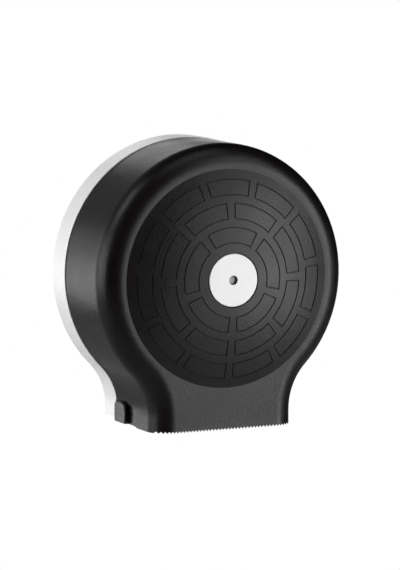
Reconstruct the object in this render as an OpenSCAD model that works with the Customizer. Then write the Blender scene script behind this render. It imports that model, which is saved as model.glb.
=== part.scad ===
// Wall dispenser for jumbo toilet rolls.
// X points right, the front faces -Y and Z is up. The wall is the plane Y = 0 and the origin
// lies on the roll's axis. "Depth" is the distance from the wall, and each piece is drawn seen
// from the front with its depth upwards, then turned by face_on(). Sizes are in millimetres.

/* [Cover] */
// Outer radius of the cover's drum
cover_r = 131.3; // [112:0.1:158]
// Wall thickness of the cover
cover_wall = 2.6; // [2:0.1:3.4]
// Depth of the cover's rear edge
cover_back = 30; // [26:0.5:34]
// Depth of the cover's flat front
front_depth = 122.5; // [118:0.5:147]
// Radius of the rounded front edge
edge_round = 22; // [14:1:26]
// Width of the flat ring between the rounded edge and the dome
ring_w = 2; // [1:0.5:6]
// How far the dome rises over the flat front
dome_rise = 15.8; // [14:0.1:22]

/* [Chute] */
// Half of the chute's width
chute_half = 76; // [68:0.5:88]
// Radius of the blend between drum and chute
chute_blend = 60; // [40:1:80]
// How far the chute reaches under the drum
chute_drop = 17.7; // [14:0.1:30]
// Pitch of the tear teeth
tooth_pitch = 3.5; // [2.5:0.1:5]
// Depth of the tear teeth
tooth_h = 2; // [1:0.1:3]
// Thickness of the front wall behind the teeth
lip_wall = 1; // [0.8:0.1:1.8]
// Height of the thin lip that the teeth are cut in
lip_h = 3.5; // [2.5:0.1:6]

/* [Relief] */
// Width of the incised outlines
groove_w = 1.3; // [0.6:0.1:1.6]
// Depth of the incised outlines
groove_h = 0.8; // [0.2:0.1:0.9]
// Radius of the inner row of pads
first_row = 44; // [40:1:48]
// Distance between rows of pads
row_step = 23; // [20:0.5:24]
// Width of a pad
pad_w = 16; // [10:0.5:18]

/* [Badge] */
// Radius of the badge
badge_r = 25.9; // [25:0.1:27]
// Gap round the badge
badge_gap = 1.1; // [0.3:0.1:1.4]
// Thickness of the badge
badge_t = 2.2; // [1.5:0.1:2.6]
// Depth of the badge's recess under the dome's top
recess_h = 3.2; // [2.6:0.1:3.6]
// Radius of the badge's front edge
badge_edge = 0.8; // [0.3:0.1:1.2]
// Radius of the key hole in the badge
key_hole_r = 4.7; // [4.4:0.1:5]
// Distance from the badge's recess floor down to the pin in the key hole
pin_sunk = 1.2; // [0.6:0.1:1.4]

/* [Back plate] */
// How far the back plate stands out round the drum
plate_proud = 0.8; // [0.5:0.1:3]
// Distance from the back plate's bottom edge up from the cover's
plate_short = 4; // [2:0.5:8]
// Thickness of the rim
rim_wall = 3; // [2:0.1:4]
// Height of the ribs behind the floor
rib_h = 4; // [2:0.5:5]
// Thickness of the floor
floor_t = 2.8; // [2:0.1:4]
// Thickness of the ribs
rib_t = 1.8; // [1.2:0.1:2.5]
// Distance between the wall screw holes across
screw_dx = 120; // [100:1:130]
// Distance between the wall screw holes up and down
screw_dz = 100; // [80:1:110]
// Radius of the wall screw holes
screw_r = 2.75; // [2:0.05:3.5]

/* [Hinge] */
// Depth of the hinge axis
hinge_depth = 44; // [42:0.5:50]
// Height of the hinge axis over the cover's bottom edge
hinge_up = 12; // [10:0.5:16]
// How far the hinge pods reach in front of the hinge axis
pod_reach = 12.7; // [11:0.1:15]
// Radius of the pods' rounded front, and their height over the hinge axis
pod_r = 10.4; // [9:0.1:12]
// How far the pods stand out of the side walls
pod_out = 3.8; // [3:0.1:6]
// Radius of the hinge pins
pin_r = 4; // [3:0.1:5]

/* [Spindle and hub] */
// Radius of the spindle
spindle_r = 10; // [8:0.5:12]
// Distance from the spindle's tip to the cover's flat front
spindle_short = 10.5; // [8:0.5:14]
// Radius of the hub's barrel
barrel_r = 21.5; // [20.5:0.5:25]
// Radius of the hub's rear disc
disc_r = 48; // [36:1:54]
// Height of the core adapter over the barrel
adapter_h = 7; // [5.5:0.5:12]

/* [Lock] */
// Travel of the push pin and of each jaw
lock_travel = 4; // [3.5:0.1:4.2]
// Radius of the neck of the catch stud
neck_r = 2.6; // [2:0.1:3]
// Radius of the head of the catch stud
head_r = 4.5; // [4.2:0.1:4.6]
// Radius of the lock's housing
lock_r = 20.3; // [20:0.1:21]

/* [Fits] */
// Radial clearance of a running fit
run_gap = 0.08; // [0.03:0.01:0.1]
// Clearance between pieces that are fixed to each other
seat_gap = 0.05; // [0.02:0.01:0.1]
// Clearance between pieces that pass each other
move_gap = 0.3; // [0.2:0.05:0.5]

/* [Hidden] */
$fn = 96;
fine = 240;                  // segments of the large circles
far = 400;                   // longer than anything here

// Depths, heights and radii that follow from the sizes above
cover_low = cover_r + chute_drop;
wall_end = front_depth - edge_round;
dome_r = cover_r - edge_round - ring_w;
dome_ball = (dome_r * dome_r + dome_rise * dome_rise) / (2 * dome_rise);
dome_centre = front_depth + dome_rise - dome_ball;
apex = front_depth + dome_rise;
inner_front = front_depth - cover_wall;
blend_x = chute_half + chute_blend;
blend_z = sqrt(pow(cover_r + chute_blend, 2) - blend_x * blend_x);
blend_turn = atan2(blend_z, blend_x);
blend_step = 0.02;

// The back plate
plate_r = cover_r + plate_proud;
plate_low = cover_low - plate_short;
plate_half = chute_half;
hinge_low = cover_low - hinge_up;
skirt_low = cover_low - 1;
skirt_depth = 75;
pod_edge = 1.2;
pod_root = chute_half - 1.6;
pod_front = hinge_depth + pod_reach;
gusset_r = 50;
rim_depth = cover_back - 0.5;
floor_front = rib_h + floor_t;
lip_r = cover_r - cover_wall - 0.5;
lip_t = 2;
lip_depth = rim_depth + 5;
ear_t = 5.8;
ear_r = 8;
ear_out = chute_half - cover_wall - 0.6;
swing_r = norm([hinge_depth - cover_back, cover_low - hinge_low]) + 0.6;
boss_r = 8;
boss_front = floor_front + 2.2;
seat_r = 30;
seat_front = 8;

// The spindle and what turns on it
spindle_tip = front_depth - spindle_short;
adapter_r = barrel_r + adapter_h;
flange_r = 27;
flange_front = seat_front + 4;
flange_screw_r = 20;
bore_in_spindle = 7;
hub_back = flange_front + 2 + move_gap;
disc_front = hub_back + 2.7;
hub_front = spindle_tip - 6;
barrel_wall = 2.4;
pocket_floor = hub_front - 9;
pocket_r = barrel_r - 4.2;
washer_r = pocket_r - 1.3;
thrust_front = pocket_floor + move_gap + 1;
spring_front = thrust_front + 8.8;
clip_back = spring_front + 1.1;
clip_t = 1.1;

// The lock: depths from the wall
badge_seat = apex - recess_h;                // floor of the badge's recess
floor_in = badge_seat - cover_wall;          // inner face of the wall behind the badge
cap_back = floor_in - 14.3;
cap_t = 2.4;
body_back = cap_back + cap_t;
jaw_back = body_back + 0.3;
jaw_t = 4.3;
jaw_front = jaw_back + jaw_t;
bar_back = floor_in - 1.8;
bar_front = floor_in - 0.3;
channel_front = bar_back - 0.3;
channel_x = lock_r - 2.3;
channel_z = 10.4;
leg_in = 7.2;
leg_out = 10.1;
leg_x = lock_travel;
jaw_gap = 0.3;                               // from the middle to each closed jaw
block_in = 8;                                // the jaws' thick outer ends
block_out = channel_x - lock_travel - 0.5;
block_z = 5;
spring_depth = jaw_back + 5.7;
spring_in = block_in + 1.3;
lock_boss_r = lock_r + 0.2;
lock_boss_wall = 2.3;
lock_screw_z = 15;
pillar_back = floor_in - 6.3;
badge_peg_r = badge_r - 1.7;
key_pin_r = key_hole_r - 0.45;
recess_r = badge_r + badge_gap;

// Turns a shape drawn in (across, up, depth) so that its depth runs towards the front
module face_on() {
    rotate([90, 0, 0]) children();
}

// The shape is drawn in (depth, up) and stands from x = from to x = to, on the right side. The
// first is for pieces that stand in the wall's frame, the second for those under face_on().
module side_slab(from, to) {
    translate([from, 0, 0]) rotate([90, 0, 90]) linear_extrude(to - from) mirror([1, 0]) children();
}

module side_slab_up(from, to) {
    translate([from, 0, 0]) rotate([0, -90, 0]) mirror([0, 0, 1]) linear_extrude(to - from) children();
}

module both_sides() {
    children();
    mirror([1, 0, 0]) children();
}

// The front outline, drawn in by inset: a drum over the rays to the blends' centres, and under
// them a chute with straight sides and concave blends
module outline(r, half, low, inset = 0) {
    fx = half + chute_blend;
    fz = sqrt(pow(r + chute_blend, 2) - fx * fx);
    intersection() {
        circle(r - inset, $fn = fine);
        polygon([[0, 0], 2 * [fx, -fz], [far, far], [-far, far], 2 * [-fx, -fz]]);
    }
    difference() {
        polygon([[0, 0], [fx, -fz], [half - inset, -fz], [half - inset, -low],
                 [inset - half, -low], [inset - half, -fz], [-fx, -fz]]);
        for (side = [-1, 1])
            translate([side * fx, -fz]) circle(chute_blend + inset, $fn = fine);
    }
}

// The section of the walls with the rounded front edge, drawn in (outwards, depth) from the
// distance `from` to the rounding's middle at `flat`
module edge_section(from, flat, rr, back) {
    translate([from, back]) square([flat + rr - from, wall_end - back]);
    translate([from, wall_end]) square([flat - from, rr]);
    intersection() {
        translate([flat, wall_end]) circle(rr);
        translate([flat - 1, wall_end]) square([rr + 2, rr + 1]);
    }
}

// The same section seen from the hollow side of a blend, from the rounding outwards
module blend_section(flat, out, rr, back) {
    translate([flat - rr, back]) square([out - flat + rr, wall_end - back]);
    translate([flat, wall_end]) square([out - flat, rr]);
    intersection() {
        translate([flat, wall_end]) circle(rr);
        translate([flat - rr - 1, wall_end]) square([rr + 2, rr + 1]);
    }
}

// The cover's outer form, drawn in by inset on every side: the drum over the rays to the blends'
// middles, the two blends and the chute. Each runs a little way into the one before, and stands
// in by blend_step, so that tangent surfaces never touch.
module cover_form(inset, back, low) {
    round_x = chute_half - edge_round;
    reach = (cover_r + chute_blend) * (1 - (round_x - 2) / blend_x);
    rotate(-blend_turn) rotate_extrude(angle = 180 + 2 * blend_turn, $fn = fine)
        edge_section(0, cover_r - edge_round, edge_round - inset, back);
    both_sides() translate([blend_x, -blend_z, 0]) rotate(180 - blend_turn - 0.4)
        rotate_extrude(angle = blend_turn + 0.4, $fn = fine)
            blend_section(chute_blend + edge_round, reach, edge_round - inset - blend_step, back);
    rotate([90, 0, 0]) linear_extrude(low) {
        edge_section(-1, round_x, edge_round - inset - 2 * blend_step, back);
        mirror([1, 0]) edge_section(-1, round_x, edge_round - inset - 2 * blend_step, back);
    }
}

// The dome on the flat front, drawn in by inset, over a disc of radius r
module dome(inset, r) {
    rotate_extrude($fn = fine) intersection() {
        translate([0, dome_centre]) circle(dome_ball - inset);
        translate([0, inner_front - 1]) square([r, apex]);
    }
}

// What lies less than `deep` under the dome's surface, or over it, between two radii and over an
// angle round the axis
module dome_cut(r1, r2, span, deep) {
    rotate(90 - span / 2) rotate_extrude(angle = span, $fn = fine) difference() {
        translate([r1, inner_front]) square([r2 - r1, dome_rise + 9]);
        translate([0, dome_centre]) circle(dome_ball - deep);
    }
}

// Staggered rows of pads, each with an incised outline: a row further out has more of them
module relief() {
    for (row = [0:2]) {
        r = first_row + row * row_step;
        count = 5 + 3 * row;
        groove = groove_w / r * 180 / PI;
        span = 360 / count - (row_step - pad_w) / r * 180 / PI;
        for (i = [0:count - 1])
            rotate(360 / count * (i + row / 2)) difference() {
                dome_cut(r - pad_w / 2, r + pad_w / 2, span, groove_h);
                dome_cut(r - pad_w / 2 + groove_w, r + pad_w / 2 - groove_w, span - 2 * groove,
                         2 * groove_h);
            }
    }
}

// Depth of the dome's surface, or of one that lies under it by inset, at the radius r
function dome_at(r, inset) = dome_centre + sqrt(pow(dome_ball - inset, 2) - r * r);

// The right hinge pod: a D with its flat side at the rear edge, chamfered all round
module hinge_pod() {
    out = chute_half + pod_out;
    top = pod_r - hinge_low - blend_step;
    intersection() {
        union() {
            translate([pod_root, -hinge_low, pod_front - pod_r]) rotate([0, 90, 0]) {
                cylinder(r = pod_r, h = out - pod_edge - pod_root);
                translate([0, 0, out - pod_edge - pod_root])
                    cylinder(r1 = pod_r, r2 = pod_r - pod_edge, h = pod_edge);
            }
            side_slab_up(pod_root, out) polygon([
                [cover_back - 1, -skirt_low], [cover_back - 1, top - 5.5], [cover_back + 6, top],
                [pod_front - pod_r, top], [pod_front - pod_r, -hinge_low],
                [pod_front - 0.5, -hinge_low], [pod_front - 2.7, -skirt_low]]);
        }
        linear_extrude(far) polygon([
            [chute_half - 2, top + 1], [out - pod_edge - 1, top + 1], [out, top - pod_edge],
            [out, pod_edge - skirt_low], [out - pod_edge - 1, -skirt_low - 1],
            [chute_half - 2, -skirt_low - 1]]);
        rotate([90, 0, 0]) linear_extrude(far) polygon([
            [chute_half - 2, cover_back - 2], [out - pod_edge - 2, cover_back - 2],
            [out, cover_back + pod_edge], [out, far], [chute_half - 2, far]]);
    }
}

// The hollow in front of the right pod: a deep band next to it and a shallow cone further out
module pod_hollow() {
    band = 2.6;
    intersection() {
        translate([pod_root + 0.4, -hinge_low, pod_front - pod_r]) rotate([0, 90, 0])
            cylinder(r = pod_r + band, h = far);
        translate([0, -hinge_low - 1, pod_front - 0.3 * pod_r]) cube(far);
    }
    translate([pod_root + 0.4, -far, pod_front - 4])
        cube([far, far - hinge_low, band + 3.9]);
    translate([chute_half - 0.9, -hinge_low - 4, pod_front + 3.8]) rotate([0, 90, 0])
        cylinder(r1 = pod_r, r2 = pod_r + 4.4, h = 2);
}

module front_cover() color([0.09, 0.09, 0.1]) face_on() {
    teeth = floor((chute_half - 2.5) / tooth_pitch);
    difference() {
        union() {
            difference() {
                union() {
                    cover_form(0, cover_back - 2, cover_low);
                    dome(0, dome_r);
                }
                cover_form(cover_wall, cover_back - 3, cover_low + 1);
                dome(cover_wall, dome_r - 1.5);
                both_sides() pod_hollow();
            }
            both_sides() hinge_pod();
            // The wall behind the badge, the lock's boss with its pillars, and gussets
            translate([0, 0, floor_in]) cylinder(r = recess_r + 1.4, h = cover_wall + 0.4);
            translate([0, 0, cap_back]) difference() {
                cylinder(r = lock_boss_r + lock_boss_wall, h = floor_in - cap_back + 1);
                translate([0, 0, -1]) cylinder(r = lock_boss_r, h = floor_in - cap_back + 1);
            }
            for (side = [-1, 1])
                translate([0, side * lock_screw_z, pillar_back]) cylinder(r = 3, h = 7, $fn = 48);
            for (a = [30:60:330])
                rotate([90, 0, a]) translate([0, 0, -0.8]) linear_extrude(1.6)
                    polygon([[lock_boss_r + 1, cap_back + 3], [lock_boss_r + 1, floor_in + 1.2],
                             [recess_r + 3, dome_at(recess_r + 3, cover_wall / 2)],
                             [gusset_r, dome_at(gusset_r, cover_wall / 2)],
                             [gusset_r, dome_at(gusset_r, cover_wall) - 1]]);
        }
        // The straight rear edge, and the side walls' bottom edge, which is a little short
        translate([-far, -far, cover_back - far]) cube([2 * far, 2 * far, far]);
        translate([-far, -skirt_low - far, 0]) cube([2 * far, far, skirt_depth]);
        // Badge recess, key hole, peg holes and pilot holes
        translate([0, 0, badge_seat]) cylinder(r = recess_r, h = 9);
        translate([0, 0, floor_in - 1]) cylinder(r = key_hole_r - 0.1, h = 9, $fn = 48);
        for (a = [90:120:330])
            rotate(a) translate([badge_peg_r, 0, floor_in - 1]) cylinder(r = 1.2, h = 9, $fn = 32);
        for (side = [-1, 1])
            translate([0, side * lock_screw_z, pillar_back - 1])
                cylinder(r = 1.2 + seat_gap, h = 6, $fn = 32);
        relief();
        // Hinge sockets
        both_sides() translate([chute_half - cover_wall - 1, -hinge_low, hinge_depth])
            rotate([0, 90, 0]) cylinder(r = pin_r + run_gap, h = cover_wall + pod_out - 0.2);
        // The wall is thin behind the teeth
        both_sides() translate([0, lip_h - cover_low, 0]) rotate([90, 0, 0]) linear_extrude(far)
            edge_section(-1, chute_half - edge_round, edge_round - lip_wall, wall_end - 1);
        // Tear teeth across the front edge and round its corners
        translate([0, -cover_low, wall_end + edge_round * 0.35]) linear_extrude(far)
            for (i = [-teeth:teeth - 1])
                translate([i * tooth_pitch, 0])
                    polygon([[0, -1], [0, 0], [tooth_pitch / 2, tooth_h], [tooth_pitch, 0],
                             [tooth_pitch, -1]]);
    }
}

module badge() color([0.93, 0.93, 0.92]) face_on() {
    difference() {
        translate([0, 0, badge_seat]) rotate_extrude($fn = fine) {
            square([badge_r, badge_t - badge_edge]);
            square([badge_r - badge_edge, badge_t]);
            translate([badge_r - badge_edge, badge_t - badge_edge]) intersection() {
                circle(badge_edge, $fn = 64);
                square(badge_edge);
            }
        }
        translate([0, 0, badge_seat - 1]) cylinder(r = key_hole_r, h = 9, $fn = 64);
    }
    for (a = [90:120:330])
        rotate(a) translate([badge_peg_r, 0, floor_in + 0.2])
            cylinder(r = 1.2 - seat_gap, h = badge_seat - floor_in, $fn = 32);
}

module hinge_ear() {
    side_slab(ear_out - ear_t, ear_out) {
        translate([hinge_depth, -hinge_low]) circle(ear_r);
        polygon([[rib_h, -plate_low], [hinge_depth, -hinge_low - ear_r],
                 [hinge_depth, ear_r - hinge_low], [rib_h, 22 - hinge_low]]);
    }
}

module back_ribs() {
    intersection() {
        outline(plate_r, plate_half, plate_low, 1);
        union() {
            for (a = [0:30:330])
                rotate(a) translate([seat_r - 1, -rib_t / 2]) square([far, rib_t]);
            for (r = [62, 96])
                difference() {
                    circle(r + rib_t / 2, $fn = fine);
                    circle(r - rib_t / 2, $fn = fine);
                }
        }
    }
}

module back_plate() color([0.95, 0.95, 0.94]) {
    face_on() difference() {
        union() {
            linear_extrude(rim_depth) difference() {
                outline(plate_r, plate_half, plate_low);
                outline(plate_r, plate_half, plate_low + 9, rim_wall);
            }
            translate([0, 0, rib_h]) linear_extrude(floor_t)
                outline(plate_r, plate_half, plate_low, 1);
            linear_extrude(rib_h + 1) back_ribs();
            // A bar behind the floor's bottom edge
            translate([1 - plate_half, -plate_low, 0]) cube([2 * plate_half - 2, rim_wall, rib_h + 1]);
            // The lip that the cover's upper half closes over
            rotate_extrude(angle = 180, $fn = fine)
                polygon([[plate_r - rim_wall + 0.5, rim_depth - 8], [plate_r - rim_wall + 0.5, rim_depth],
                         [lip_r, rim_depth], [lip_r, lip_depth], [lip_r - lip_t, lip_depth],
                         [lip_r - lip_t, rim_depth - 3]]);
            cylinder(r = seat_r, h = seat_front);
            for (x = [-1, 1], z = [-1, 1])
                translate([x * screw_dx / 2, z * screw_dz / 2, 0]) cylinder(r = boss_r, h = boss_front);
        }
        for (x = [-1, 1], z = [-1, 1])
            translate([x * screw_dx / 2, z * screw_dz / 2, 0]) {
                translate([0, 0, -1]) cylinder(r = screw_r, h = far, $fn = 48);
                translate([0, 0, boss_front - 3]) cylinder(r = 2 * screw_r, h = far);
            }
        translate([0, 0, -1]) cylinder(r = bore_in_spindle, h = far);
        for (a = [45:90:315])
            rotate(a) translate([flange_screw_r, 0, seat_front - 6.5])
                cylinder(r = 1.6 + seat_gap, h = far, $fn = 32);
        // Room for the cover's lower corners as it swings
        both_sides() translate([ear_out + 0.1, -hinge_low, hinge_depth]) rotate([0, 90, 0])
            cylinder(r = swing_r, h = far);
    }
    both_sides() difference() {
        hinge_ear();
        translate([0, -hinge_depth, -hinge_low]) rotate([0, 90, 0])
            cylinder(r = pin_r + seat_gap, h = far);
    }
}

module spindle() color([0.85, 0.85, 0.83]) face_on() difference() {
    union() {
        translate([0, 0, seat_front]) cylinder(r = flange_r, h = flange_front - seat_front);
        translate([0, 0, seat_front]) cylinder(r = spindle_r, h = spindle_tip - 1 - seat_front);
        translate([0, 0, spindle_tip - 1]) cylinder(r1 = spindle_r, r2 = spindle_r - 1, h = 1);
    }
    translate([0, 0, -1]) cylinder(r = bore_in_spindle, h = spindle_tip - 12);
    translate([0, 0, spindle_tip - 10]) cylinder(r = 3 + seat_gap, h = 20, $fn = 48);
    for (a = [45:90:315])
        rotate(a) translate([flange_screw_r, 0, 0]) {
            cylinder(r = 1.8, h = far, $fn = 32);
            translate([0, 0, flange_front - 1.8]) cylinder(r1 = 1.8, r2 = 3.8, h = 2, $fn = 48);
        }
    translate([0, 0, clip_back - 0.05]) difference() {
        cylinder(r = spindle_r + 1, h = clip_t + 0.1);
        translate([0, 0, -1]) cylinder(r = spindle_r - 1.6, h = clip_t + 3);
    }
}

module spindle_screws() color([0.75, 0.76, 0.78]) face_on()
    for (a = [45:90:315])
        rotate(a) translate([flange_screw_r, 0, 0]) difference() {
            union() {
                translate([0, 0, seat_front - 6]) cylinder(r = 1.6, h = 9, $fn = 32);
                translate([0, 0, flange_front - 1.9]) cylinder(r1 = 1.6, r2 = 3.4, h = 1.8, $fn = 48);
            }
            for (turn = [0, 90])
                rotate(turn) translate([-2, -0.4, flange_front - 1.1]) cube([4, 0.8, 3]);
        }

module catch_stud() color([0.78, 0.79, 0.81]) face_on() {
    head_back = jaw_front + 0.3;
    translate([0, 0, spindle_tip - 9]) cylinder(r = 3, h = 10, $fn = 48);
    translate([0, 0, spindle_tip]) cylinder(r = 6, h = 2.4, $fn = 6);
    translate([0, 0, spindle_tip]) cylinder(r = 4, h = jaw_back - 1 - spindle_tip, $fn = 48);
    translate([0, 0, jaw_back - 2]) cylinder(r = neck_r, h = head_back + 3 - jaw_back, $fn = 48);
    translate([0, 0, head_back]) cylinder(r = head_r, h = 0.6, $fn = 64);
    translate([0, 0, head_back + 0.6]) cylinder(r1 = head_r, r2 = 2.2, h = 1.3, $fn = 64);
    translate([0, 0, head_back + 1.9]) cylinder(r1 = 2.2, r2 = 1.8, h = 0.6, $fn = 48);
}

module washer(inner, outer, back, t) {
    translate([0, 0, back]) difference() {
        cylinder(r = outer, h = t);
        translate([0, 0, -1]) cylinder(r = inner, h = t + 2);
    }
}

module brake_washer() color([0.35, 0.35, 0.33]) face_on()
    washer(spindle_r + 2.5, flange_r - 2, flange_front, 2);

module thrust_washer() color([0.75, 0.76, 0.78]) face_on()
    washer(spindle_r + seat_gap, washer_r, thrust_front - 1, 1);

module spring_washer() color([0.75, 0.76, 0.78]) face_on()
    washer(spindle_r + seat_gap, washer_r, spring_front, 1);

module retaining_clip() color([0.3, 0.3, 0.32]) face_on() difference() {
    washer(spindle_r - 1.5, spindle_r + 3.2, clip_back, clip_t);
    translate([0, 0, clip_back - 1]) linear_extrude(clip_t + 2)
        polygon([[0, 0], [-far, -far * 0.6], [far, -far * 0.6]]);
}

// A coil spring along the depth: an unbroken round wire with its middle on a helix
function coil_point(r, length, curls, t) =
    [r * cos(360 * curls * t), r * sin(360 * curls * t), length * t];

module coil_spring(r, wire, length, curls) {
    rings = 8 * curls;
    run = length - 2 * wire;
    points = [for (i = [0:rings]) let (p = coil_point(r, run, curls, i / rings),
              a = 360 * curls * i / rings) for (k = [0:5])
              p + [0, 0, wire] + wire * cos(60 * k) * [cos(a), sin(a), 0] + [0, 0, wire * sin(60 * k)]];
    sides = [for (i = [0:rings - 1], k = [0:5]) let (a = 6 * i + k, b = 6 * i + (k + 1) % 6)
             each [[a, b, b + 6], [a, b + 6, a + 6]]];
    last = 6 * rings;
    ends = [for (k = [1:4]) each [[0, k + 1, k], [last, last + k, last + k + 1]]];
    polyhedron(points, concat(sides, ends), convexity = 8);
    echo(spring_gap = run / curls - 2 * wire);
}

module brake_spring() color([0.7, 0.71, 0.73]) face_on()
    translate([0, 0, thrust_front]) coil_spring(spindle_r + 3, 0.8, spring_front - thrust_front, 3);

module hinge_pin(side) {
    translate([side * (ear_out - ear_t - 1.5), -hinge_depth, -hinge_low]) rotate([0, side * 90, 0]) {
        cylinder(r = pin_r + 2, h = 1.5, $fn = 64);
        cylinder(r = pin_r, h = ear_t + 1.5 + chute_half + pod_out - 1.5 - ear_out, $fn = 64);
    }
}

module hinge_pin_left() color([0.8, 0.8, 0.78]) hinge_pin(-1);
module hinge_pin_right() color([0.8, 0.8, 0.78]) hinge_pin(1);

module roll_hub() color([0.9, 0.9, 0.88]) face_on() difference() {
    union() {
        translate([0, 0, hub_back]) cylinder(r = disc_r, h = disc_front - hub_back);
        washer(disc_r - 2, disc_r, hub_back, disc_front - hub_back + 1.5);
        translate([0, 0, hub_back]) cylinder(r = barrel_r, h = hub_front - hub_back);
        for (a = [0:60:300])
            rotate(a) translate([barrel_r - 1, -1, hub_back]) cube([1.8, 2, hub_front - hub_back - 3]);
    }
    translate([0, 0, hub_back - 1]) cylinder(r = spindle_r + run_gap, h = far);
    translate([0, 0, disc_front + 4]) cylinder(r = barrel_r - barrel_wall,
                                               h = pocket_floor - disc_front - 8.5);
    translate([0, 0, pocket_floor]) cylinder(r = pocket_r, h = far);
    for (a = [30:60:330])
        rotate(a) translate([(disc_r + adapter_r + 2) / 2, 0, hub_back - 1])
            cylinder(r = (disc_r - adapter_r - 6.5) / 2, h = 9);
}

module core_adapter() color([0.82, 0.82, 0.8]) face_on() {
    long = hub_front - 5 - disc_front;
    slide_r = barrel_r + 1.1;
    translate([0, 0, disc_front]) linear_extrude(long) {
        difference() {
            circle(adapter_r);
            circle(adapter_r - 1.8);
        }
        difference() {
            circle(slide_r + 1.6);
            circle(slide_r);
        }
        difference() {
            for (a = [0:36:324])
                rotate(a) translate([slide_r + 0.8, -0.75]) square([adapter_r - slide_r - 1.6, 1.5]);
            circle(slide_r + 0.4);
        }
    }
    washer(slide_r, adapter_r + 4, disc_front, 1.6);
}

module lock_body() color([0.7, 0.7, 0.68]) face_on() difference() {
    translate([0, 0, body_back]) cylinder(r = lock_r, h = floor_in - body_back);
    translate([-channel_x, -channel_z, body_back - 1])
        cube([2 * channel_x, 2 * channel_z, channel_front - body_back + 1]);
    translate([-leg_x - 0.3, -leg_out - 0.3, body_back])
        cube([2 * leg_x + 0.6, 2 * leg_out + 0.6, 20]);
    translate([0, 0, body_back]) cylinder(r = key_hole_r, h = 20, $fn = 64);
    for (side = [-1, 1])
        translate([0, side * lock_screw_z, 0]) {
            translate([0, 0, body_back - 1]) cylinder(r = 1.5, h = 20, $fn = 32);
            translate([0, 0, pillar_back - 0.3]) cylinder(r = 3.2, h = 20, $fn = 48);
        }
}

module lock_cap() color([0.62, 0.62, 0.6]) face_on() difference() {
    translate([0, 0, cap_back]) cylinder(r = lock_r, h = cap_t);
    translate([0, 0, cap_back - 0.1]) cylinder(r1 = 9.5, r2 = 7, h = cap_t + 0.2, $fn = 64);
    translate([-leg_x - 0.3, -leg_out - 0.3, cap_back - 1])
        cube([2 * leg_x + 0.6, 2 * leg_out + 0.6, 9]);
    for (side = [-1, 1])
        translate([0, side * lock_screw_z, cap_back - 1]) {
            cylinder(r = 1.5, h = 9, $fn = 32);
            cylinder(r = 2.7, h = 2.4, $fn = 48);
        }
}

module lock_screws() color([0.75, 0.76, 0.78]) face_on()
    for (side = [-1, 1])
        translate([0, side * lock_screw_z, 0]) difference() {
            union() {
                translate([0, 0, cap_back + 0.1]) cylinder(r = 2.4, h = 1.3, $fn = 48);
                translate([0, 0, cap_back + 1]) cylinder(r = 1.2, h = 11, $fn = 32);
            }
            translate([-1.6, -0.35, cap_back]) cube([3.2, 0.7, 0.8]);
        }

module lock_plunger() color([0.6, 0.6, 0.58]) face_on() {
    tip = badge_seat - pin_sunk;
    wedge = jaw_front - leg_x + 0.15;
    difference() {
        union() {
            translate([0, 0, bar_back]) cylinder(r = key_pin_r, h = tip - 0.6 - bar_back, $fn = 64);
            translate([0, 0, tip - 0.6]) cylinder(r1 = key_pin_r, r2 = key_pin_r - 0.6, h = 0.6, $fn = 64);
            translate([-leg_x, -leg_out, bar_back]) cube([2 * leg_x, 2 * leg_out, bar_front - bar_back]);
        }
        // Hollow that clears the stud's head when the pin is pushed in
        translate([0, 0, bar_back - 1]) cylinder(r = key_pin_r - 1, h = tip - 0.2 - bar_back, $fn = 48);
        translate([0, 0, bar_back - 1]) cylinder(r1 = head_r + 0.9, r2 = key_pin_r - 1, h = 2.4, $fn = 48);
    }
    for (side = [-1, 1])
        translate([0, side * (leg_in + leg_out) / 2 + (leg_out - leg_in) / 2, 0])
            rotate([90, 0, 0]) linear_extrude(leg_out - leg_in)
                polygon([[0, wedge], [leg_x, wedge + leg_x], [leg_x, bar_front], [-leg_x, bar_front],
                         [-leg_x, wedge + leg_x]]);
}

// The right jaw; the left one is its mirror image
module jaw() {
    face_on() difference() {
        union() {
            translate([jaw_gap, -10, jaw_back]) cube([block_out - jaw_gap, 20, jaw_t]);
            translate([block_in, -block_z, jaw_back])
                cube([block_out - block_in, 2 * block_z, channel_front - 0.3 - jaw_back]);
        }
        translate([0, 0, jaw_back - 1]) cylinder(r = neck_r + 0.35, h = jaw_t + 2, $fn = 48);
        for (side = [-1, 1])
            translate([0, side * 8.5 + 2, 0]) rotate([90, 0, 0]) linear_extrude(4)
                polygon([[0, jaw_front - leg_x], [jaw_gap, jaw_front - leg_x],
                         [jaw_gap + leg_x, jaw_front], [jaw_gap + leg_x, far], [0, far]]);
        translate([spring_in, 0, spring_depth]) rotate([0, 90, 0]) cylinder(r = 2.5, h = far, $fn = 48);
        for (side = [-1, 1])
            translate([block_out - 3, side * 13.5 - 5, 0]) cube([far, 10, far]);
    }
}

module jaw_left() color([0.8, 0.75, 0.6]) mirror([1, 0, 0]) jaw();
module jaw_right() color([0.8, 0.75, 0.6]) jaw();

module jaw_spring() {
    face_on() translate([spring_in + 0.05, 0, spring_depth]) rotate([0, 90, 0])
        coil_spring(1.9, 0.3, channel_x - spring_in - 0.1, 7);
}

module jaw_spring_left() color([0.7, 0.71, 0.73]) mirror([1, 0, 0]) jaw_spring();
module jaw_spring_right() color([0.7, 0.71, 0.73]) jaw_spring();

back_plate();
spindle();
spindle_screws();
catch_stud();
brake_washer();
thrust_washer();
brake_spring();
spring_washer();
retaining_clip();
hinge_pin_left();
hinge_pin_right();
roll_hub();
core_adapter();
front_cover();
badge();
lock_body();
lock_cap();
lock_screws();
lock_plunger();
jaw_left();
jaw_right();
jaw_spring_left();
jaw_spring_right();
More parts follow.
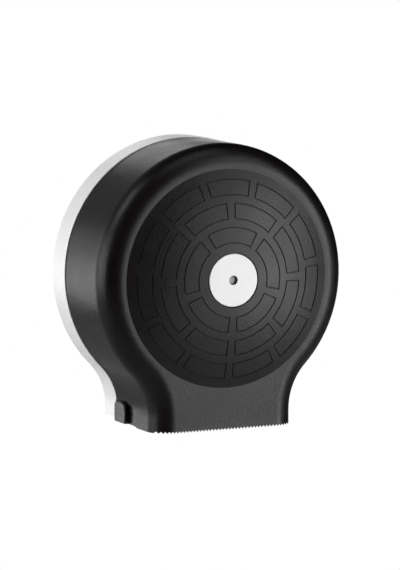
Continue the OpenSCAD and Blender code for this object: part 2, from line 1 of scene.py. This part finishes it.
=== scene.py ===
import bmesh
import bpy
from math import cos, radians, sin
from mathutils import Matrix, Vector


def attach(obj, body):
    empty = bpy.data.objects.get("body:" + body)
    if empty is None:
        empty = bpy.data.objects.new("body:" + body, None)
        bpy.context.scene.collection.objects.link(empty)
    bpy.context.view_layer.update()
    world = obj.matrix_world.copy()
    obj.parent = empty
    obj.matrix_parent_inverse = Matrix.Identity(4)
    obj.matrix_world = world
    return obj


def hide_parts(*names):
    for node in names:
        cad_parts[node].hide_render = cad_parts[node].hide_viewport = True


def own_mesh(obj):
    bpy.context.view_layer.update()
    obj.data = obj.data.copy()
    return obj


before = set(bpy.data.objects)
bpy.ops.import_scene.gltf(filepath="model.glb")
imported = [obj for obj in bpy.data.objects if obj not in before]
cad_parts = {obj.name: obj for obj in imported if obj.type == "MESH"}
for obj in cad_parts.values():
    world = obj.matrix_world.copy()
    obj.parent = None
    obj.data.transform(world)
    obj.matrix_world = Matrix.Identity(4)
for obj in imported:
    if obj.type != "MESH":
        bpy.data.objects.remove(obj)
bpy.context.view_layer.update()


# Back plate: the wall side of the dispenser, one satin white ABS moulding with a rim, a ribbed
# floor and two ears for the hinge pins. Four screws hold it to the wall.
class Shade:
    """A socket among a material's nodes. Arithmetic on it adds Math nodes, and `a | b` is the
    larger of two."""

    def __init__(self, tree, socket=None):
        self.tree = tree
        self.socket = socket

    def node(self, kind, settings=None, sockets=None, out=0):
        made = self.tree.nodes.new(kind)
        for key, value in (settings or {}).items():
            if key == "stops":
                ramp = made.color_ramp.elements
                while len(ramp) < len(value):
                    ramp.new(0.5)
                for stop, (place, grey) in zip(ramp, value):
                    stop.position = place
                    stop.color = (grey, grey, grey, 1)
            else:
                setattr(made, key, value)
        for key, value in (sockets or {}).items():
            if isinstance(value, Shade):
                self.tree.links.new(value.socket, made.inputs[key])
            else:
                made.inputs[key].default_value = value
        return Shade(self.tree, made.outputs[out])

    def math(self, operation, first, second):
        return self.node("ShaderNodeMath", {"operation": operation}, {0: first, 1: second})

    def __add__(self, other):
        return self.math("ADD", self, other)

    def __radd__(self, other):
        return self.math("ADD", other, self)

    def __sub__(self, other):
        return self.math("SUBTRACT", self, other)

    def __rsub__(self, other):
        return self.math("SUBTRACT", other, self)

    def __mul__(self, other):
        return self.math("MULTIPLY", self, other)

    def __rmul__(self, other):
        return self.math("MULTIPLY", other, self)

    def __or__(self, other):
        return self.math("MAXIMUM", self, other)

    def rise(self, low, high):
        """0 below low, 1 above high, and a smooth step between them."""
        return self.node("ShaderNodeMapRange", {"interpolation_type": "SMOOTHSTEP"},
                         {0: self, 1: low, 2: high})

    def along(self, axis):
        """The share of this vector along an axis."""
        return self.node("ShaderNodeVectorMath", {"operation": "DOT_PRODUCT"}, {0: self, 1: axis},
                         out="Value")

    def away(self, point):
        """The distance of this place from a point."""
        return self.node("ShaderNodeVectorMath", {"operation": "DISTANCE"}, {0: self, 1: point},
                         out="Value")


def noise(shade, scale, detail=2.0, stretch=(1, 1, 1)):
    """Soft noise from 0 to 1 that is fixed to the piece, with `scale` blots to the metre."""
    place = shade.node("ShaderNodeTexCoord", out="Object")
    place = shade.node("ShaderNodeMapping", {},
                       {"Vector": place, "Scale": tuple(scale * share for share in stretch)})
    return shade.node("ShaderNodeTexNoise", {},
                      {"Vector": place, "Scale": 1.0, "Detail": detail, "Roughness": 0.55})


BROAD_BLOTS = 28
GRAIN_HEIGHT = 0.0001
SPECK_GLOSS = 0.10
DARKENS_BY = 0.7
DULLS_BY = 0.22


def finish(name, colour, rough, grain=0.12, grain_size=0.0007, mottle=0.03, metallic=0.0,
           stretch=(1, 1, 1), polish=0.06, blot=0.0043, lumps=1.6, dark=None, dull=None):
    """A moulded, turned or pressed finish: its colour with a mottle, an uneven gloss and a grain.

    `grain_size` and `blot` are the sizes in metres of the grain and of the blots between it and
    the broad ones, and `lumps` is how much the blots raise the surface beside the grain. The grain
    may be stretched into the lines of a tool. `dark` makes a mask of the places where the colour
    deepens, and `dull` one of where the gloss goes, or comes where it is under 0.
    """
    material = bpy.data.materials.new(name)
    material.use_nodes = True
    tree = material.node_tree
    surface = tree.nodes["Principled BSDF"]
    surface.inputs["Metallic"].default_value = metallic
    shade = Shade(tree)
    flow = noise(shade, BROAD_BLOTS, detail=3.0)
    cloud = noise(shade, 1 / blot)
    speck = noise(shade, 1 / grain_size, stretch=stretch)
    light = 1 + (flow - 0.5) * (2 * mottle) + (cloud - 0.5) * (2 * mottle) + (speck - 0.5) * mottle
    gloss = rough + (flow - 0.5) * polish + (cloud - 0.5) * polish + (speck - 0.5) * SPECK_GLOSS
    if dark:
        light = light * (1 - DARKENS_BY * dark(shade))
    if dull:
        gloss = gloss + DULLS_BY * dull(shade)
    tone = shade.node("ShaderNodeMix", {"data_type": "RGBA", "blend_type": "MULTIPLY"},
                      {"Factor": 1.0, 6: (*colour, 1), 7: light}, out=2)
    skin = shade.node("ShaderNodeBump", {}, {"Strength": grain, "Distance": GRAIN_HEIGHT,
                                             "Height": speck + cloud * lumps})
    tree.links.new(tone.socket, surface.inputs["Base Color"])
    tree.links.new(gloss.socket, surface.inputs["Roughness"])
    tree.links.new(skin.socket, surface.inputs["Normal"])
    return material


MERGE_DISTANCE = 2e-6


def moulding(node, name, body, material, crease=28):
    """A smooth-shaded copy of a CAD node that stands for the node. Edges that turn by `crease`
    degrees or more stay sharp."""
    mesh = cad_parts[node].data.copy()
    mesh.name = name
    shape = bmesh.new()
    shape.from_mesh(mesh)
    bmesh.ops.remove_doubles(shape, verts=shape.verts[:], dist=MERGE_DISTANCE)
    for face in shape.faces:
        face.smooth = True
    for edge in shape.edges:
        edge.smooth = edge.calc_face_angle(0.0) < radians(crease)
    shape.to_mesh(mesh)
    shape.free()
    piece = bpy.data.objects.new(name, mesh)
    bpy.context.scene.collection.objects.link(piece)
    mesh.materials.clear()
    mesh.materials.append(material)
    weighted = piece.modifiers.new("even_normals", "WEIGHTED_NORMAL")
    weighted.keep_sharp = True
    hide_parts(node)
    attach(piece, body)
    return piece


white_abs = finish("white_abs", (0.93, 0.935, 0.93), 0.34, grain=0.05, mottle=0.012)
moulding("back_plate", "plate_moulding", "wall_unit", white_abs)

# Spindle: a grey moulded axle, hollow from behind, whose flange is held by four zinc-plated
# screws. A turned steel stud stands in its tip, for the lock's jaws to hold.
grey_abs = finish("grey_abs", (0.34, 0.35, 0.36), 0.42, grain=0.16, mottle=0.04)
moulding("spindle", "spindle_moulding", "wall_unit", grey_abs)
zinc = finish("zinc_steel", (0.62, 0.63, 0.64), 0.32, grain=0.06, mottle=0.07, metallic=1.0,
              polish=0.14)
moulding("spindle_screws", "flange_screws", "wall_unit", zinc)
turned = finish("turned_steel", (0.56, 0.57, 0.58), 0.22, grain=0.20, grain_size=0.0003,
                mottle=0.05, metallic=1.0, stretch=(0.03, 1, 0.03))
moulding("catch_stud", "turned_stud", "wall_unit", turned)

# Hub brake: a pressed felt ring behind the hub, and in front of it two steel washers with a coil
# spring between them, kept on the spindle by a spring steel clip.
COIL_CREASE = 65
felt = finish("felt", (0.045, 0.045, 0.043), 0.88, grain=0.9, grain_size=0.0006, mottle=0.30,
              stretch=(1, 0.35, 1))
moulding("brake_washer", "felt_ring", "wall_unit", felt)
moulding("thrust_washer", "inner_washer", "wall_unit", zinc)
moulding("spring_washer", "outer_washer", "wall_unit", zinc)
wire_steel = finish("spring_steel", (0.40, 0.41, 0.43), 0.28, grain=0.08, grain_size=0.0004,
                    mottle=0.08, metallic=1.0, polish=0.12)
moulding("brake_spring", "brake_coil", "wall_unit", wire_steel,
         crease=COIL_CREASE)
moulding("retaining_clip", "open_clip", "wall_unit", wire_steel)

# Hinge pins: two moulded pins of natural nylon, which is cloudy. They sit in the back plate's
# ears, and the cover swings on them.
nylon = finish("natural_nylon", (0.68, 0.66, 0.58), 0.38, grain=0.08, mottle=0.05, polish=0.10)
moulding("hinge_pin_left", "pin_left", "wall_unit", nylon)
moulding("hinge_pin_right", "pin_right", "wall_unit", nylon)

# Roll hub: a grey moulded ABS spool with a ribbed barrel, which turns on the spindle. A nylon
# sleeve is pushed over the barrel for rolls with a wider core.
moulding("roll_hub", "hub_spool", "hub", grey_abs)
moulding("core_adapter", "core_sleeve", "hub", nylon)

# Front cover: a black ABS shell with a fine sparked grain, a rounded front edge, a shallow dome,
# tear teeth along its bottom edge and a pod for the hinge on each side. The dome's incised lines
# and the badge's seat are dull, and painted shade darkens their colour; hands and paper polish
# the bottom edge.
BALL_RADIUS = 0.3722
BALL_CENTRE = (0, 0.2339, 0)
LINE_TOP = (0.0002, 0.0005)
LINE_FLOOR = (0.0010, 0.0013)
DOME_EDGE = (0.1057, 0.1063)
SEAT_EDGE = (0.0271, 0.0275)
HANDLED_STRIP = (-0.149, -0.137)
HANDLED_POLISH = 0.15


def off_axis(place):
    """How far a place is from the roll's axis."""
    flat = place.node("ShaderNodeVectorMath", {"operation": "MULTIPLY"},
                      {0: place, 1: (1, 0, 1)})
    return flat.away((0, 0, 0))


def painted_shade_lines(shade):
    """The dome's incised lines and the badge's seat, by their depth under the ball that the dome
    is part of. The cover's colour is darkened here as painted shade of these recesses."""
    place = shade.node("ShaderNodeTexCoord", out="Object")
    under = BALL_RADIUS - place.away(BALL_CENTRE)
    radius = off_axis(place)
    sunk = under.rise(*LINE_TOP)
    line = sunk * (1 - under.rise(*LINE_FLOOR))
    seat = sunk * (1 - radius.rise(*SEAT_EDGE))
    return (line | seat) * (1 - radius.rise(*DOME_EDGE))


def dull_places(shade):
    """Dull in the lines, and the other way in the strip at the bottom edge that hands polish."""
    place = shade.node("ShaderNodeTexCoord", out="Object")
    handled = 1 - place.along((0, 0, 1)).rise(*HANDLED_STRIP)
    return painted_shade_lines(shade) - HANDLED_POLISH * handled


# The dark mask paints shade into the dome's incised lines and the badge's seat.
black_abs = finish("black_abs", (0.0044, 0.0035, 0.0031), 0.32, grain=0.45, grain_size=0.0011,
                   mottle=0.08, polish=0.16, blot=0.0021, lumps=3.2, dark=painted_shade_lines,
                   dull=dull_places)
black_abs.node_tree.nodes["Principled BSDF"].inputs["Specular IOR Level"].default_value = 0.25
moulding("front_cover", "cover_shell", "cover", black_abs, crease=9)

# Badge: a white satin disc with a key hole, moulded with pegs and pressed into the middle of the
# dome. The key has scuffed it a little round the hole.
SCUFF_EDGE = (0.0046, 0.0062)
SCUFF_BLOTS = 900
SCUFF_DEPTH = 0.12


def near_the_key(shade):
    """The faint, blotchy scuff round the key hole."""
    place = shade.node("ShaderNodeTexCoord", out="Object")
    near = 1 - off_axis(place).rise(*SCUFF_EDGE)
    return near * noise(shade, SCUFF_BLOTS) * SCUFF_DEPTH


badge_white = finish("badge_white", (0.83, 0.835, 0.835), 0.25, grain=0.03, mottle=0.010,
                     dark=near_the_key)
moulding("badge", "badge_disc", "cover", badge_white)

# Lock: a grey acetal housing and cap behind the badge, held by two screws, with a push pin whose
# wedge legs spread two nylon jaws against their coil springs.
acetal = finish("grey_acetal", (0.26, 0.26, 0.255), 0.35, grain=0.08, mottle=0.03, polish=0.08)
moulding("lock_body", "lock_housing", "cover", acetal)
moulding("lock_cap", "lock_cover", "cover", acetal)
moulding("lock_screws", "lock_fixings", "cover", zinc)
moulding("lock_plunger", "push_pin", "plunger", acetal)
moulding("jaw_left", "jaw_moulding_left", "jaw_left", nylon)
moulding("jaw_right", "jaw_moulding_right", "jaw_right", nylon)
for side, outer in (("left", 0), ("right", 1)):
    coil = moulding("jaw_spring_" + side, "jaw_coil_" + side, "cover", wire_steel,
                    crease=COIL_CREASE)
    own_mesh(coil)


# Studio: a plain pale floor well under the dispenser, which hangs at wall height, soft boxes, and
# a camera to the front left, a little above. To the camera the background is white everywhere. To
# gloss and glass it is white only in parts of the floor and of the world, and dark elsewhere.
FLOOR_SIZE = 9
FLOOR_LEVEL = -1.1
CAMERA_PLACE = (-1.5264, -3.3030, 0.4260)
CAMERA_AHEAD = (0.42280, 0.89801, -0.12160)
scene = bpy.context.scene
floor_shape = bmesh.new()
bmesh.ops.create_grid(floor_shape, x_segments=1, y_segments=1, size=FLOOR_SIZE)
bmesh.ops.translate(floor_shape, verts=floor_shape.verts[:], vec=(0, 0, FLOOR_LEVEL))
floor_mesh = bpy.data.meshes.new("floor")
floor_shape.to_mesh(floor_mesh)
floor_shape.free()
floor = bpy.data.objects.new("floor", floor_mesh)
scene.collection.objects.link(floor)


def backdrop_share(shade, shown):
    """How much of the white background a ray meets: all of it for a camera ray, and the share
    `shown` for a ray of gloss or glass."""
    seen, gloss, glass = [shade.node("ShaderNodeLightPath", out=kind)
                          for kind in ("Is Camera Ray", "Is Glossy Ray", "Is Transmission Ray")]
    return seen | (gloss | glass) * shown


pale = bpy.data.materials.new("pale_floor")
pale.use_nodes = True
paint = pale.node_tree.nodes["Principled BSDF"]
paint.inputs["Base Color"].default_value = (0.55, 0.55, 0.55, 1)
paint.inputs["Roughness"].default_value = 0.9
shade = Shade(pale.node_tree)
spot = shade.node("ShaderNodeTexCoord", out="Object")
glow = shade.node("ShaderNodeEmission", {}, {"Color": (1, 1, 1, 1), "Strength": 1.0})
beside = spot.along((1, 0, 0))
depth = spot.along((0, 1, 0))
far_floor = depth.rise(3.0, 6.0) * 0.6
right_floor = beside.rise(0.0, 0.9) * (1 - beside.rise(1.2, 2.2)) * depth.rise(0.2, 1.2) * 0.6
front_floor = beside.rise(0.1, 0.7) * (1 - depth.rise(-1.6, -0.8)) * 0.8
shown = far_floor | right_floor | front_floor
look = shade.node("ShaderNodeMixShader", {}, {0: backdrop_share(shade, shown),
                                              1: Shade(pale.node_tree, paint.outputs[0]), 2: glow})
pale.node_tree.links.new(look.socket, pale.node_tree.nodes["Material Output"].inputs["Surface"])
floor_mesh.materials.append(pale)

world = bpy.data.worlds.new("studio")
scene.world = world
world.use_nodes = True
sky = world.node_tree
shade = Shade(sky)
toward = shade.node("ShaderNodeTexCoord", out="Generated")
level = shade.node("ShaderNodeValToRGB", {"stops": [(0.0, 0.0), (0.45, 0.0), (0.75, 0.227)]},
                   {0: toward.along((-0.4226, 0.9063, 0.0))})
shown = toward.along(CAMERA_AHEAD).rise(0.95, 0.99)
level = shade.node("ShaderNodeMix", {"data_type": "RGBA"},
                   {"Factor": backdrop_share(shade, shown), 6: level, 7: (1, 1, 1, 1)}, out=2)
sky.links.new(level.socket, sky.nodes["Background"].inputs["Color"])
sky.nodes["Background"].inputs["Strength"].default_value = 1.0


LAMP_DISTANCE = 3


def soft_box(name, bearing, lift, wide, high, power):
    """A soft box that faces the dispenser, at a bearing from straight in front towards its right
    and a lift over the horizon, both in degrees."""
    lamp = bpy.data.lights.new(name, "AREA")
    lamp.shape = "RECTANGLE"
    lamp.size = wide
    lamp.size_y = high
    lamp.energy = power
    turn, tilt = radians(bearing), radians(lift)
    ahead = Vector((cos(tilt) * sin(turn), -cos(tilt) * cos(turn), sin(tilt)))
    place = LAMP_DISTANCE * ahead
    lamp_object = bpy.data.objects.new(name, lamp)
    lamp_object.location = place
    lamp_object.rotation_euler = (-place).to_track_quat("-Z", "Y").to_euler()
    lamp_object.visible_camera = False
    scene.collection.objects.link(lamp_object)


soft_box("key_right", 41, 0, 1.2, 2.0, 47)
soft_box("key_front", 20, 0, 1.1, 2.0, 21)
soft_box("key_high", 35, 34, 1.6, 1.2, 12)
soft_box("left", -99, 4, 2.5, 1.7, 49)
soft_box("left_high", -95, 45, 1.3, 1.4, 19)
soft_box("back_left", -142, -1, 1.4, 1.6, 10)
soft_box("top", 20, 72, 1.8, 1.8, 11)
soft_box("window_left", -155, -7, 0.7, 0.8, 3.0)
soft_box("window_top", 167, 22, 0.8, 0.6, 2.6)
soft_box("window_right", 153, 8, 0.7, 0.6, 1.2)

camera = bpy.data.cameras.new("camera")
camera.lens = 230.4
camera.sensor_width = 36
camera.sensor_fit = "AUTO"
camera.clip_end = 40
stand = bpy.data.objects.new("camera", camera)
stand.location = CAMERA_PLACE
stand.rotation_euler = Vector(CAMERA_AHEAD).to_track_quat("-Z", "Y").to_euler()
scene.collection.objects.link(stand)
scene.camera = stand
scene.view_settings.view_transform = "Standard"
